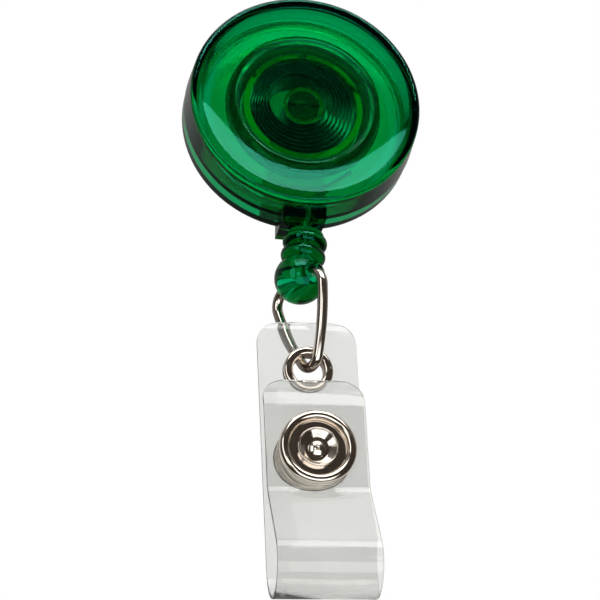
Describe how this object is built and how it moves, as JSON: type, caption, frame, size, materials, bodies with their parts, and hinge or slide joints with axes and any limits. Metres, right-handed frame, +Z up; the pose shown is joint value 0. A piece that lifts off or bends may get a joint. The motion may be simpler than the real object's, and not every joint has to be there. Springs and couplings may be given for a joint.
{
  "type": "badge reel",
  "caption": "Round translucent retractable badge reel with a sprung cord spool, ball cord stop, wire ring and clear snap strap.",
  "frame": {"origin": "axle of the spool at the back face of the round case, where the belt edge sits behind the case", "axes": "hanging as worn: +X to the viewer's right, +Y from the face to the back, +Z up, the strap hangs along -Z"},
  "size_m": [0.032, 0.0153, 0.0862],
  "materials": {
    "green_plastic": "translucent gloss",
    "spring_steel": "satin",
    "nickel": "polished nickel",
    "clear_vinyl": "clear gloss",
    "nylon_cord": "braided"
  },
  "bodies": {
    "case": {"front_cover": "green_plastic", "rear_cover": "green_plastic", "power_spring": "spring_steel", "cord_lead": "nylon_cord"},
    "clip": {"belt_clip": "green_plastic"},
    "reel": {"spool": "green_plastic", "cord_winding": "nylon_cord"},
    "cord": {"cord_tail": "nylon_cord", "cord_knot": "nylon_cord"},
    "stop": {"cord_stop": "green_plastic"},
    "ring": {"link_ring": "nickel"},
    "strap": {"strap_back": "clear_vinyl", "strap_loop": "clear_vinyl", "strap_eyelet": "nickel", "eyelet_washer": "nickel", "snap_stud": "nickel", "snap_post": "nickel"},
    "flap": {"strap_flap": "clear_vinyl", "snap_cap": "nickel", "snap_socket": "nickel", "snap_spring": "spring_steel"}
  },
  "joints": [
    {"name": "cord_pull", "type": "slide", "parent": "case", "child": "cord", "axis": [-0.1132, 0, -0.9936], "range_m": [0, 0.8357], "stiffness_N_per_m": 0.75, "springref_m": -0.8},
    {"name": "spool_spin", "type": "hinge", "parent": "case", "child": "reel", "pos_m": [0, -0.0037, 0], "axis": [0, 1, 0], "range_deg": [0, 5041], "deforming": ["power_spring"]},
    {"name": "stop_twist", "type": "hinge", "parent": "cord", "child": "stop", "pos_m": [0.00022, -0.0037, -0.02479], "axis": [0.1132, 0, 0.9936], "continuous": true},
    {"name": "ring_swing", "type": "hinge", "parent": "stop", "child": "ring", "pos_m": [0.00022, -0.0037, -0.02479], "axis": [0.5, -0.866, 0], "range_deg": [-45, 45]},
    {"name": "strap_swing", "type": "hinge", "parent": "ring", "child": "strap", "pos_m": [0.00155, -0.00374, -0.0356], "axis": [0.8613, 0.4973, 0.1045], "range_deg": [-22, 22]},
    {"name": "flap_open", "type": "hinge", "parent": "strap", "child": "flap", "pos_m": [0.00299, -0.0078, -0.06543], "axis": [0.9983, 0, 0.0576], "range_deg": [0, 70], "stiffness_Nm_per_rad": 0.002, "springref_deg": -2.86, "deforming": ["strap_loop"]},
    {"name": "clip_flex", "type": "hinge", "parent": "case", "child": "clip", "pos_m": [0, 0.0018, 0.0129], "axis": [1, 0, 0], "range_deg": [0, 12], "stiffness_Nm_per_rad": 0.3}
  ],
  "couplings": [
    {"joint": "spool_spin", "follows": "cord_pull", "rad_per_m": 105.26}
  ]
}
